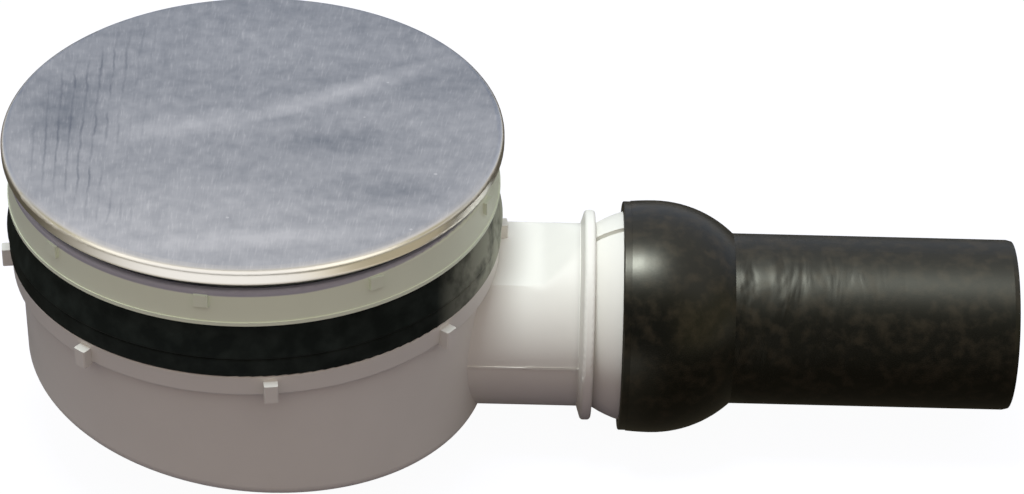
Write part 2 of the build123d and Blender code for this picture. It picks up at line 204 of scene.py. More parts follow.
class MouldingFinish(bpy.types.PropertyGroup):
    """White polypropylene of the flange, body and insert."""

    flange: colour("Flange", "White of the flange ring, faintly yellow", "#EEF7DF")
    body: colour("Body", "White of the trap body", "#E0DED6")
    patch_size: length("Patch size", "Size of the faint uneven patches in the plastic", 14.0)
    patch_darker: share("Patch shade", "How much darker the dark patches are", 0.05)
    patch_paler: share("Patch light", "How much paler the pale patches are", 0.04)
    rough: span("Roughness", "Least and most roughness of the plastic", 0.38, 0.50)
    grain: length("Grain", "Size of the fine texture left by the mould", 0.35)
    grain_depth: length("Grain depth", "Depth of that texture", 0.02)
    # The slot under the cover is darkened with painted shade, and less of it towards the outlet
    shade_tint: colour("Slot grime", "What painted_shade leaves of the white in the slot under the cover", "#BBB4D4")
    shade_edge: length("Shading edge", "Height above the tray at which the painted_shade starts", 16.1)
    shade_blur: length("Shading blur", "How far the painted_shade fades above and below that height", 0.15)
    shade_reach: length("Shading reach", "Radius at which the painted_shade ends, inside the pads", 55.9)
    clean: stretch("Thinning side", "Where the painted_shade starts to thin out and is thinnest", 15.0, 48.0)
    shade_rise: length("Thinning rise", "How much higher the painted_shade starts there, at the outlet", 1.1)
    ramp_soft: length("Ramp softness", "Rounding of the edges where the neck's ramp runs out", 3.0)
    ramp: stretch("Ramp", "Where the soft edges start along the neck and are fully soft", 62.0, 66.0)
    ramp_end: length("Ramp end", "Where the soft edges end, before the collar", 75.0)


class RubberFinish(bpy.types.PropertyGroup):
    """Black rubber of the seals and rings."""

    rubber: colour("Rubber", "Black of the rubber", "#171C1A")
    bloom: colour("Bloom", "Grey bloom on the rubber's surface", "#282E2B")
    bloom_size: length("Bloom size", "Size of the patches of bloom", 5.0)
    bloom_level: span("Bloom level", "Noise at which the bloom starts and is full", 0.4, 0.7)
    # Beside the neck the rubber gets pale dust and a painted sheen
    dust_and_sheen: colour("Dust_and_sheen", "Pale dust rubbed onto the rubber beside the neck", "#B7BCA9")
    dust_and_sheen_reach: stretch("Dust reach", "Where the dust starts beside the neck and is full", 43.0, 56.0)
    dust_and_sheen_level: span("Dust level", "Noise at which the dust starts and is full", 0.2, 0.55)
    dust_and_sheen_strength: share("Dust strength", "How much of the rubber the dust covers", 0.95)
    rough: span("Roughness", "Least and most roughness of the rubber", 0.5, 0.7)
    grain: length("Grain", "Size of the rubber's fine grain", 0.4)
    grain_depth: length("Grain depth", "Depth of the grain", 0.04)


class OutletFinish(bpy.types.PropertyGroup):
    """Black polyethylene of the outlet."""

    black: colour("Polyethylene", "Black of the plastic", "#0A0B09")
    paler_tone: colour("Scuffed polyethylene", "Paler, warm black where it is scuffed", "#241F17")
    sheen: colour("Sheen", "Tint of the light that the plastic throws back", "#FFFAE6")
    scuff_size: length("Scuff size", "Size of the scuffed patches", 3.0)
    scuff_level: span("Scuff level", "Noise at which a scuff starts and is full", 0.45, 0.70)
    rough: span("Roughness", "Least and most roughness of the socket", 0.27, 0.37)
    pipe_rough: share("Pipe roughness", "How much rougher the pipe is", 0.11)
    pipe_blur: length("Pipe blur", "Half the length over which the gloss changes", 3.0)
    mouth_soft: length("Mouth softness", "Rounding of the edge between the socket's mouth and ball", 4.0)
    mouth: stretch("Mouth", "Where the soft edge starts along the outlet and is fully soft", 87.0, 91.0)
    mouth_end: length("Mouth end", "Where it ends on the ball", 106.0)
    ripple_width: length("Ripple width", "Width of the ripples round the pipe beside the socket", 5.0)
    ripple_reach: length("Ripple reach", "How far round the pipe one ripple runs", 15.0)
    ripple_depth: length("Ripple depth", "Depth of the ripples", 0.8)
    ripple_start: length("Ripple start", "Where the pipe and its ripples start along the outlet", 112.0)
    ripple_end: length("Ripple end", "Where the ripples have died out", 150.0)
    grain: length("Grain", "Size of the fine texture left by the mould", 0.3)
    grain_depth: length("Grain depth", "Depth of that texture", 0.03)


class TrapStage(bpy.types.PropertyGroup):
    """Floor, light and camera."""

    floor: colour("Floor", "Colour in which the floor throws light back", "#404254")
    floor_size: length("Floor size", "Width of the floor", 8000.0)
    floor_gap: length("Floor gap", "Space between the trap's lowest point and the floor", 0.2)
    floor_glow: share("Floor glow", "How white the floor looks", 0.96)
    floor_near: share("Near floor", "How white the shaded floor looks when mirrored", 0.13)
    floor_warm: colour("Mirrored floor", "Tint of the shaded floor when mirrored", "#BDB08C")
    shade: stretch("Floor shade", "How far out the trap's shade starts to fade and ends", 300.0, 4000.0)
    patch_place: point("Bright patch", "Middle of the bright floor before the trap", -40.0, -260.0, 0.0)
    patch: stretch("Patch edge", "Radius at which the bright patch ends and is whole", 340.0, 120.0)
    patch_right: stretch("Patch right", "Where the patch ends at the right and is whole", 125.0, 70.0)
    side_middle: length("Side middle", "Middle between the two pale sides of the floor", 45.0)
    sides: stretch("Sides", "How far from there the sides start and are fully pale", 240.0, 320.0)
    side_glow: share("Side glow", "How white the floor's sides look when mirrored", 0.42)

    # The sky's edges are given on the unit direction in which one looks: x right, y back, z up
    horizon: colour("Horizon", "Backdrop near the floor", "#F2F1EE")
    horizon_edge: span("Horizon edge", "Direction's z where the horizon starts and is whole", 0.09, 0.02)
    sky_back: colour("Rear sky", "Soft cool light from behind", "#AEB6C6")
    sky_front: colour("Front sky", "Soft warm light from the front", "#BAA08E")
    sky_turn: span("Sky turn", "Direction's y where the front sky starts to fade and ends", -0.6, 0.6)
    sky_mirror: colour("Mirrored front", "Front of the room as polished faces show it", "#4C4944")
    front_edge: span("Front edge", "Direction's y where that front starts and is whole", -0.30, -0.55)
    sky_side: colour("Mirrored sides", "Sides of the room as polished faces show them", "#A49D7E")
    side_edge: span("Side edge", "Direction's y where the sides start and are whole", -0.75, -0.35)
    right_edge: span("Right edge", "Direction's x where the right side starts and is whole", 0.32, 0.52)
    rear_edge: span("Rear edge", "Direction's y where the rear starts and is whole", 0.0, 0.5)
    sky_top: colour("Top sky", "Soft light from overhead", "#DAD9DA")
    top_edge: span("Top edge", "Direction's z where the top starts and is whole", 0.40, 0.64)

    lamp_power: watts("Lamp", "Power of the light overhead", 10.9)
    lamp_colour: colour("Lamp colour", "Cool daylight of the light overhead", "#F2FBFF")
    lamp_size: length("Lamp size", "Width of the light overhead", 300.0)
    lamp_place: point("Lamp place", "Where the light hangs", -50.0, -20.0, 1100.0)
    box_power: watts("Soft box", "Power of the wide light in front", 11.0)
    box_width: length("Soft box width", "Width of the light in front", 4400.0)
    box_height: length("Soft box height", "Height of the light in front", 900.0)
    box_place: point("Soft box place", "Where the light in front stands", 0.0, -900.0, 500.0)
    card_power: watts("Card", "Power of the glowing card on the floor", 0.055)
    card_colour: colour("Card colour", "Cream of the glowing card", "#E6DABB")
    card_size: length("Card size", "Width of the glowing card", 210.0)
    card_place: point("Card place", "Where the card lies, z from the lowest point", 170.0, -110.0, 2.0)

    camera_place: point("Camera place", "Where the camera stands", 59.265, -637.598, 439.123)
    camera_elevation: angle("Camera elevation", "How steeply the camera looks down", 35.046)
    camera_roll: angle("Camera roll", "Turn of the camera about its line of sight", 1.395)
    camera_lens: bpy.props.FloatProperty(
        name="Camera lens", description="Focal length on a 36 mm sensor", unit="CAMERA", default=117.9)


def stroke_pattern(tree, place, finish):
    """Brushing strokes that fan out from a point in front of the trap, and the bearing from there."""
    parts = add_node(tree, "ShaderNodeSeparateXYZ", {0: place.outputs["Object"]})
    aside = add_node(tree, "ShaderNodeMath", {
        0: parts.outputs["X"], 1: finish.fan_middle}, operation="SUBTRACT")
    reach = add_node(tree, "ShaderNodeMath", {
        0: parts.outputs["Y"], 1: finish.fan}, operation="ADD")
    bearing = add_node(tree, "ShaderNodeMath", {0: aside, 1: reach}, operation="DIVIDE")
    fanned = add_node(tree, "ShaderNodeCombineXYZ", {
        "X": bearing, "Y": parts.outputs["Y"], "Z": parts.outputs["Z"]})
    # Real strokes are about a tenth as wide, too fine to show, so they are drawn this coarse
    along = 1 / finish.stroke_length
    scaled = add_node(tree, "ShaderNodeVectorMath", {
        0: fanned, 1: (finish.fan / finish.stroke_width, along, along)}, operation="MULTIPLY")
    strokes = add_node(tree, "ShaderNodeTexNoise", {
        "Vector": scaled, "Scale": 1.0, "Detail": 2.0, "Roughness": 0.5, "Distortion": 0.3})
    return strokes, bearing


def ground_tone(tree, place, finish):
    """How pale the sheet is under its strokes: soft bands of painted reflection, the paler front, smears
    and dull patches.
    """
    # Soft bands of painted reflection lie across the sheet
    across = 1 / finish.band_width
    turned = add_node(tree, "ShaderNodeMapping", {
        "Vector": place.outputs["Object"], "Rotation": (0, 0, finish.band_turn),
        "Scale": (1 / finish.band_length, across, across)})
    bands = add_node(tree, "ShaderNodeTexNoise", {
        "Vector": turned, "Scale": 1.0, "Detail": 2.0, "Roughness": 0.45})
    band = add_node(tree, "ShaderNodeMapRange", {
        "Value": bands.outputs["Fac"], "From Min": NOISE_LOW, "From Max": NOISE_HIGH,
        "To Min": finish.band_tone[0], "To Max": finish.band_tone[1]})
    # The sheet is paler towards the front, and a little more at the left
    front_left = (-0.1, -1.0, 0.0)
    forward = add_node(tree, "ShaderNodeVectorMath", {
        0: place.outputs["Object"], 1: front_left}, operation="DOT_PRODUCT")
    paler_tone = add_node(tree, "ShaderNodeMapRange", {
        "Value": forward.outputs["Value"], "From Min": finish.paling_reach[0],
        "From Max": finish.paling_reach[1], "To Max": finish.paler_tone})
    ground = add_node(tree, "ShaderNodeMath", {0: band, 1: paler_tone}, operation="ADD")
    for mark in MARKS:
        inside = add_node(tree, "ShaderNodeMapping", {
            "Vector": place.outputs["Object"], "Location": (mark.x * MM, mark.y * MM, 0),
            "Rotation": (0, 0, radians(mark.turn)),
            "Scale": (mark.reach * MM, mark.width * MM, 1)}, vector_type="TEXTURE")
        spot = add_node(tree, "ShaderNodeTexGradient", {"Vector": inside}, gradient_type="SPHERICAL")
        ground = add_node(tree, "ShaderNodeMath", {
            0: spot.outputs["Fac"], 1: mark.paler, 2: ground}, operation="MULTIPLY_ADD")
    return ground


def sheet_tone(tree, place, strokes, finish):
    """How pale the brushed sheet is, with its strokes, smudges and bright flecks."""
    hairlines = add_node(tree, "ShaderNodeMapRange", {
        "Value": strokes.outputs["Fac"], "From Min": NOISE_LOW, "From Max": NOISE_HIGH,
        "To Min": -finish.hairline, "To Max": finish.hairline})
    cuts = add_node(tree, "ShaderNodeMapRange", {
        "Value": strokes.outputs["Fac"], "From Min": finish.cut_level[0],
        "From Max": finish.cut_level[1], "To Max": finish.cut})
    stroke = add_node(tree, "ShaderNodeMath", {0: hairlines, 1: cuts}, operation="ADD")
    smudges = add_node(tree, "ShaderNodeTexNoise", {
        "Vector": place.outputs["Object"], "Scale": 1 / finish.smudge_size, "Detail": 2.0})
    smudge = add_node(tree, "ShaderNodeMapRange", {
        "Value": smudges.outputs["Fac"], "From Min": NOISE_LOW, "From Max": NOISE_HIGH,
        "To Min": -finish.smudge, "To Max": finish.smudge})
    flecks = add_node(tree, "ShaderNodeTexVoronoi", {
        "Vector": place.outputs["Object"], "Scale": 1 / finish.fleck_spacing})
    fleck = add_node(tree, "ShaderNodeMapRange", {
        "Value": flecks.outputs["Distance"],
        "From Min": finish.fleck_edge[0] / finish.fleck_spacing,
        "From Max": finish.fleck_edge[1] / finish.fleck_spacing,
        "To Min": finish.fleck, "To Max": 0.0})
    mottle = add_node(tree, "ShaderNodeMath", {0: smudge, 1: fleck}, operation="ADD")
    marked = add_node(tree, "ShaderNodeMath", {0: stroke, 1: mottle}, operation="ADD")
    ground = ground_tone(tree, place, finish)
    return add_node(tree, "ShaderNodeMath", {0: marked, 1: ground}, operation="ADD", use_clamp=True)


def scratch_pattern(tree, place, bearing, finish):
    """Deep scratches that wander along the strokes near the left edge and end before the rim."""
    stray = add_node(tree, "ShaderNodeTexNoise", {
        "Vector": place.outputs["Object"], "Scale": 1 / finish.scratch_bend,
        "Detail": 4.0, "Roughness": 0.6})
    # The noise runs from 0 to 1, so twice the wander is as far to either side
    strayed = add_node(tree, "ShaderNodeMath", {
        0: stray.outputs["Fac"], 1: 2 * finish.scratch_wander / finish.scratch_spacing},
        operation="MULTIPLY")
    # Counted in scratches, and folded at half a spacing into the distance from the nearest one
    row = add_node(tree, "ShaderNodeMath", {
        0: bearing, 1: finish.fan / finish.scratch_spacing, 2: strayed}, operation="MULTIPLY_ADD")
    off_line = add_node(tree, "ShaderNodeMath", {0: row, 1: 0.5}, operation="PINGPONG")
    line = add_node(tree, "ShaderNodeMapRange", {
        "Value": off_line,
        "From Min": finish.scratch_line[0] / finish.scratch_spacing,
        "From Max": finish.scratch_line[1] / finish.scratch_spacing,
        "To Min": 1.0, "To Max": 0.0})
    # Only near the left edge, with breaks
    parts = add_node(tree, "ShaderNodeSeparateXYZ", {0: place.outputs["Object"]})
    side = add_node(tree, "ShaderNodeMapRange", {
        "Value": parts.outputs["X"], "From Min": finish.scratch_side[0],
        "From Max": finish.scratch_side[1], "To Max": finish.scratch_strength})
    breaks = add_node(tree, "ShaderNodeTexNoise", {
        "Vector": place.outputs["Object"], "Scale": 1 / finish.scratch_break, "Detail": 3.0})
    wear = add_node(tree, "ShaderNodeMapRange", {
        "Value": breaks.outputs["Fac"], "From Min": finish.break_level[0],
        "From Max": finish.break_level[1]})
    some = add_node(tree, "ShaderNodeMath", {0: side, 1: wear}, operation="MULTIPLY")
    from_middle = add_node(tree, "ShaderNodeVectorMath", {
        0: place.outputs["Object"]}, operation="LENGTH")
    stop = add_node(tree, "ShaderNodeMapRange", {
        "Value": from_middle.outputs["Value"],
        "From Min": finish.scratch_edge + finish.scratch_fade, "From Max": finish.scratch_edge})
    here = add_node(tree, "ShaderNodeMath", {0: some, 1: stop}, operation="MULTIPLY")
    return add_node(tree, "ShaderNodeMath", {0: line, 1: here}, operation="MULTIPLY")


def brushed_steel(finish):
    """Stainless sheet, brushed: soft bands of painted reflection, short pale strokes that fan out and a
    few scratches.
    """
    material, tree = new_material("stainless_steel_brushed")
    place = add_node(tree, "ShaderNodeTexCoord")
    strokes, bearing = stroke_pattern(tree, place, finish)
    sheet = add_node(tree, "ShaderNodeMix", {
        "Factor": sheet_tone(tree, place, strokes, finish),
        COLOUR_A: finish.dark[:], COLOUR_B: finish.pale[:]}, data_type="RGBA")
    shade = add_node(tree, "ShaderNodeMix", {
        "Factor": scratch_pattern(tree, place, bearing, finish),
        COLOUR_A: sheet.outputs[MIXED], COLOUR_B: finish.scratch[:]}, data_type="RGBA")
    # The rounded rim is polished, not brushed; its near-white colour, set by the slope of the face, is
    # in part a painted highlight
    slope = add_node(tree, "ShaderNodeSeparateXYZ", {0: place.outputs["Normal"]})
    rim = add_node(tree, "ShaderNodeMapRange", {
        "Value": slope.outputs["Z"], "From Min": finish.rim_slope[0],
        "From Max": finish.rim_slope[1]})
    edged = add_node(tree, "ShaderNodeMix", {
        "Factor": rim, COLOUR_A: shade.outputs[MIXED], COLOUR_B: finish.rim[:]}, data_type="RGBA")
    brushed = add_node(tree, "ShaderNodeMapRange", {
        "Value": strokes.outputs["Fac"], "To Min": finish.stroke_rough[0],
        "To Max": finish.stroke_rough[1]})
    rough = add_node(tree, "ShaderNodeMix", {
        "Factor": rim, NUMBER_A: brushed, NUMBER_B: finish.rim_rough})
    relief = add_node(tree, "ShaderNodeBump", {
        "Height": strokes.outputs["Fac"], "Strength": 0.15, "Distance": finish.stroke_depth})
    shader = add_node(tree, "ShaderNodeBsdfPrincipled", {
        "Base Color": edged.outputs[MIXED], "Metallic": 1.0, "Roughness": rough, "Normal": relief})
    add_node(tree, "ShaderNodeOutputMaterial", {"Surface": shader})
    return material


def painted_slot_shade(tree, place, parts, finish):
    """Painted shade in the slot above the flange's edge, under the cover, and less of it at the outlet.
    """
    shade_lift = add_node(tree, "ShaderNodeMapRange", {
        "Value": parts.outputs["X"], "From Min": finish.clean[0], "From Max": finish.clean[1],
        "To Max": finish.shade_rise})
    in_slot = add_node(tree, "ShaderNodeMath", {
        0: parts.outputs["Z"], 1: shade_lift}, operation="SUBTRACT")
    in_shade = add_node(tree, "ShaderNodeMapRange", {
        "Value": in_slot, "From Min": finish.shade_edge - finish.shade_blur,
        "From Max": finish.shade_edge + finish.shade_blur})
    level = add_node(tree, "ShaderNodeVectorMath", {
        0: place.outputs["Object"], 1: (1, 1, 0)}, operation="MULTIPLY")
    radius = add_node(tree, "ShaderNodeVectorMath", {0: level}, operation="LENGTH")
    inside = add_node(tree, "ShaderNodeMath", {
        0: radius.outputs["Value"], 1: finish.shade_reach}, operation="LESS_THAN")
    return add_node(tree, "ShaderNodeMath", {0: in_shade, 1: inside}, operation="MULTIPLY")


def soft_edges(tree, parts, softness, rise, end):
    """Normals that round off sharp edges over one stretch along the outlet."""
    rising = add_node(tree, "ShaderNodeMapRange", {
        "Value": parts.outputs["X"], "From Min": rise[0], "From Max": rise[1], "To Max": softness})
    before_end = add_node(tree, "ShaderNodeMath", {
        0: parts.outputs["X"], 1: end}, operation="LESS_THAN")
    rounding = add_node(tree, "ShaderNodeMath", {0: rising, 1: before_end}, operation="MULTIPLY")
    return add_node(tree, "ShaderNodeBevel", {"Radius": rounding}, samples=BEVEL_SAMPLES)


def moulded_polypropylene(name, white, finish):
    """Injection-moulded polypropylene: satin and a little waxy, with faint uneven patches."""
    material, tree = new_material(name)
    place = add_node(tree, "ShaderNodeTexCoord")
    parts = add_node(tree, "ShaderNodeSeparateXYZ", {0: place.outputs["Object"]})
    patches = add_node(tree, "ShaderNodeTexNoise", {
        "Vector": place.outputs["Object"], "Scale": 1 / finish.patch_size, "Detail": 3.0})
    darker = [(1 - finish.patch_darker) * c for c in white[:3]]
    paler = [min(1, (1 + finish.patch_paler) * c) for c in white[:3]]
    shade = add_node(tree, "ShaderNodeMix", {
        "Factor": patches.outputs["Fac"], COLOUR_A: (*darker, 1), COLOUR_B: (*paler, 1)},
        data_type="RGBA")
    # Painted shade in the slot under the cover
    slot_shaded = add_node(tree, "ShaderNodeMix", {
        "Factor": painted_slot_shade(tree, place, parts, finish),
        COLOUR_A: shade.outputs[MIXED], COLOUR_B: finish.shade_tint[:]},
        data_type="RGBA", blend_type="MULTIPLY")
    rough = add_node(tree, "ShaderNodeMapRange", {
        "Value": patches.outputs["Fac"], "From Min": NOISE_LOW, "From Max": NOISE_HIGH,
        "To Min": finish.rough[0], "To Max": finish.rough[1]})
    # The mould's real grain is too fine to show, so it is drawn several times as coarse
    grain = add_node(tree, "ShaderNodeTexNoise", {
        "Vector": place.outputs["Object"], "Scale": 1 / finish.grain, "Detail": 2.0})
    # The ramp on the neck's crown runs out softly
    eased = soft_edges(tree, parts, finish.ramp_soft, finish.ramp, finish.ramp_end)
    relief = add_node(tree, "ShaderNodeBump", {
        "Height": grain.outputs["Fac"], "Strength": 0.2, "Distance": finish.grain_depth,
        "Normal": eased})
    shader = add_node(tree, "ShaderNodeBsdfPrincipled", {
        "Base Color": slot_shaded.outputs[MIXED], "Roughness": rough, "IOR": 1.49,
        "Specular IOR Level": 0.2, "Normal": relief})
    add_node(tree, "ShaderNodeOutputMaterial", {"Surface": shader})
    return material


def moulded_rubber(finish):
    """Moulded black rubber: matt, with a patchy grey bloom."""
    material, tree = new_material("epdm_rubber_moulded_black")
    place = add_node(tree, "ShaderNodeTexCoord")
    patches = add_node(tree, "ShaderNodeTexNoise", {
        "Vector": place.outputs["Object"], "Scale": 1 / finish.bloom_size, "Detail": 4.0})
    bloom = add_node(tree, "ShaderNodeMapRange", {
        "Value": patches.outputs["Fac"], "From Min": finish.bloom_level[0],
        "From Max": finish.bloom_level[1]})
    shade = add_node(tree, "ShaderNodeMix", {
        "Factor": bloom, COLOUR_A: finish.rubber[:], COLOUR_B: finish.bloom[:]}, data_type="RGBA")
    # The end of the rubber beside the neck gets pale dust and a painted sheen
    parts = add_node(tree, "ShaderNodeSeparateXYZ", {0: place.outputs["Object"]})
    by_neck = add_node(tree, "ShaderNodeMapRange", {
        "Value": parts.outputs["X"], "From Min": finish.dust_and_sheen_reach[0],
        "From Max": finish.dust_and_sheen_reach[1]})
    rubbed = add_node(tree, "ShaderNodeMapRange", {
        "Value": patches.outputs["Fac"], "From Min": finish.dust_and_sheen_level[0],
        "From Max": finish.dust_and_sheen_level[1], "To Max": finish.dust_and_sheen_strength})
    dust_and_sheen_mask = add_node(tree, "ShaderNodeMath", {0: by_neck, 1: rubbed}, operation="MULTIPLY")
    with_dust_and_sheen = add_node(tree, "ShaderNodeMix", {
        "Factor": dust_and_sheen_mask, COLOUR_A: shade.outputs[MIXED], COLOUR_B: finish.dust_and_sheen[:]},
        data_type="RGBA")
    rough = add_node(tree, "ShaderNodeMapRange", {
        "Value": patches.outputs["Fac"], "To Min": finish.rough[0], "To Max": finish.rough[1]})
    # The rubber's real grain is too fine to show, so it is drawn several times as coarse
    grain = add_node(tree, "ShaderNodeTexNoise", {
        "Vector": place.outputs["Object"], "Scale": 1 / finish.grain, "Detail": 3.0})
    relief = add_node(tree, "ShaderNodeBump", {
        "Height": grain.outputs["Fac"], "Strength": 0.3, "Distance": finish.grain_depth})
    shader = add_node(tree, "ShaderNodeBsdfPrincipled", {
        "Base Color": with_dust_and_sheen.outputs[MIXED], "Roughness": rough, "IOR": 1.5,
        "Specular IOR Level": 0.06, "Normal": relief})
    add_node(tree, "ShaderNodeOutputMaterial", {"Surface": shader})
    return material


def ripple_pattern(tree, place, parts, finish):
    """Shallow ripples from the mould, round the pipe beside the socket."""
    around = 1 / finish.ripple_reach
    stretched = add_node(tree, "ShaderNodeVectorMath", {
        0: place.outputs["Object"], 1: (1 / finish.ripple_width, around, around)},
        operation="MULTIPLY")
    ripples = add_node(tree, "ShaderNodeTexNoise", {
        "Vector": stretched, "Scale": 1.0, "Detail": 2.0, "Distortion": 0.4})
    near = add_node(tree, "ShaderNodeMapRange", {
        "Value": parts.outputs["X"], "From Min": finish.ripple_end, "From Max": finish.ripple_start})
    on_pipe = add_node(tree, "ShaderNodeMath", {
        0: parts.outputs["X"], 1: finish.ripple_start}, operation="GREATER_THAN")
    here = add_node(tree, "ShaderNodeMath", {0: near, 1: on_pipe}, operation="MULTIPLY")
    return add_node(tree, "ShaderNodeMath", {
        0: ripples.outputs["Fac"], 1: here}, operation="MULTIPLY")


def moulded_polyethylene(finish):
    """Moulded black polyethylene: deep black with a soft sheen and warm scuffs."""
    material, tree = new_material("polyethylene_moulded_black")
    place = add_node(tree, "ShaderNodeTexCoord")
    parts = add_node(tree, "ShaderNodeSeparateXYZ", {0: place.outputs["Object"]})
    patches = add_node(tree, "ShaderNodeTexNoise", {
        "Vector": place.outputs["Object"], "Scale": 1 / finish.scuff_size, "Detail": 4.0})
    scuff = add_node(tree, "ShaderNodeMapRange", {
        "Value": patches.outputs["Fac"], "From Min": finish.scuff_level[0],
        "From Max": finish.scuff_level[1]})
    shade = add_node(tree, "ShaderNodeMix", {
        "Factor": scuff, COLOUR_A: finish.black[:], COLOUR_B: finish.paler_tone[:]}, data_type="RGBA")
    # The socket is glossier than the pipe
    uneven = add_node(tree, "ShaderNodeMapRange", {
        "Value": patches.outputs["Fac"], "To Min": finish.rough[0], "To Max": finish.rough[1]})
    duller = add_node(tree, "ShaderNodeMapRange", {
        "Value": parts.outputs["X"], "From Min": finish.ripple_start - finish.pipe_blur,
        "From Max": finish.ripple_start + finish.pipe_blur, "To Max": finish.pipe_rough})
    rough = add_node(tree, "ShaderNodeMath", {0: uneven, 1: duller}, operation="ADD")
    # The straight mouth of the socket runs softly into the ball
    eased = soft_edges(tree, parts, finish.mouth_soft, finish.mouth, finish.mouth_end)
    waves = add_node(tree, "ShaderNodeBump", {
        "Height": ripple_pattern(tree, place, parts, finish), "Strength": 1.0,
        "Distance": finish.ripple_depth, "Normal": eased})
    # The mould's real grain is too fine to show, so it is drawn several times as coarse
    grain = add_node(tree, "ShaderNodeTexNoise", {
        "Vector": place.outputs["Object"], "Scale": 1 / finish.grain, "Detail": 2.0})
    relief = add_node(tree, "ShaderNodeBump", {
        "Height": grain.outputs["Fac"], "Strength": 0.25, "Distance": finish.grain_depth,
        "Normal": waves})
    shader = add_node(tree, "ShaderNodeBsdfPrincipled", {
        "Base Color": shade.outputs[MIXED], "Roughness": rough, "IOR": 1.5,
        "Specular IOR Level": 0.5, "Specular Tint": finish.sheen[:], "Normal": relief})
    add_node(tree, "ShaderNodeOutputMaterial", {"Surface": shader})
    return material


def mirrored_floor(tree, stage):
    """How white polished faces show the floor: dim by the trap, bright before it, pale aside."""
    place = add_node(tree, "ShaderNodeTexCoord")
    parts = add_node(tree, "ShaderNodeSeparateXYZ", {0: place.outputs["Object"]})
    away = add_node(tree, "ShaderNodeVectorMath", {0: place.outputs["Object"]}, operation="LENGTH")
    dim = add_node(tree, "ShaderNodeMapRange", {
        "Value": away.outputs["Value"], "From Min": stage.shade[0], "From Max": stage.shade[1],
        "To Min": stage.floor_near, "To Max": stage.floor_glow}, interpolation_type="SMOOTHSTEP")
    from_patch = add_node(tree, "ShaderNodeVectorMath", {
        0: place.outputs["Object"], 1: stage.patch_place}, operation="DISTANCE")
    patch = add_node(tree, "ShaderNodeMapRange", {
        "Value": from_patch.outputs["Value"], "From Min": stage.patch[0],
        "From Max": stage.patch[1], "To Max": stage.floor_glow}, interpolation_type="SMOOTHSTEP")
    right_end = add_node(tree, "ShaderNodeMapRange", {
        "Value": parts.outputs["X"], "From Min": stage.patch_right[0],
        "From Max": stage.patch_right[1]})
    bright = add_node(tree, "ShaderNodeMath", {0: patch, 1: right_end}, operation="MULTIPLY")
    lit = add_node(tree, "ShaderNodeMath", {0: dim, 1: bright}, operation="MAXIMUM")
    sideways = add_node(tree, "ShaderNodeMath", {
        0: parts.outputs["X"], 1: stage.side_middle}, operation="SUBTRACT")
    beyond = add_node(tree, "ShaderNodeMath", {0: sideways}, operation="ABSOLUTE")
    sides = add_node(tree, "ShaderNodeMapRange", {
        "Value": beyond, "From Min": stage.sides[0], "From Max": stage.sides[1],
        "To Max": stage.side_glow})
    return add_node(tree, "ShaderNodeMath", {0: lit, 1: sides}, operation="MAXIMUM")


def pale_floor(stage):
    """Matt pale floor, which looks white and keeps the trap's shadow, also where it is mirrored."""
    material, tree = new_material("floor_pale")
    path = add_node(tree, "ShaderNodeLightPath")
    mirrored = add_node(tree, "ShaderNodeMath", {
        0: path.outputs["Is Glossy Ray"], 1: path.outputs["Is Transmission Ray"]},
        operation="MAXIMUM")
    shaded = add_node(tree, "ShaderNodeMath", {
        0: mirrored, 1: mirrored_floor(tree, stage)}, operation="MULTIPLY")
    plain = add_node(tree, "ShaderNodeMath", {
        0: path.outputs["Is Camera Ray"], 1: stage.floor_glow}, operation="MULTIPLY")
    level = add_node(tree, "ShaderNodeMath", {0: plain, 1: shaded}, operation="MAXIMUM")
    ground = add_node(tree, "ShaderNodeMix", {
        "Factor": mirrored, COLOUR_A: stage.floor[:], COLOUR_B: BLACK}, data_type="RGBA")
    matt = add_node(tree, "ShaderNodeBsdfDiffuse", {"Color": ground.outputs[MIXED]})
    clear = add_node(tree, "ShaderNodeMath", {
        0: level, 1: path.outputs["Is Camera Ray"]}, operation="MAXIMUM")
    tint = add_node(tree, "ShaderNodeMix", {
        "Factor": clear, COLOUR_A: stage.floor_warm[:], COLOUR_B: WHITE}, data_type="RGBA")
    glow = add_node(tree, "ShaderNodeEmission", {"Color": tint.outputs[MIXED], "Strength": level})
    both = add_node(tree, "ShaderNodeAddShader", {0: matt, 1: glow})
    add_node(tree, "ShaderNodeOutputMaterial", {"Surface": both})
    return material


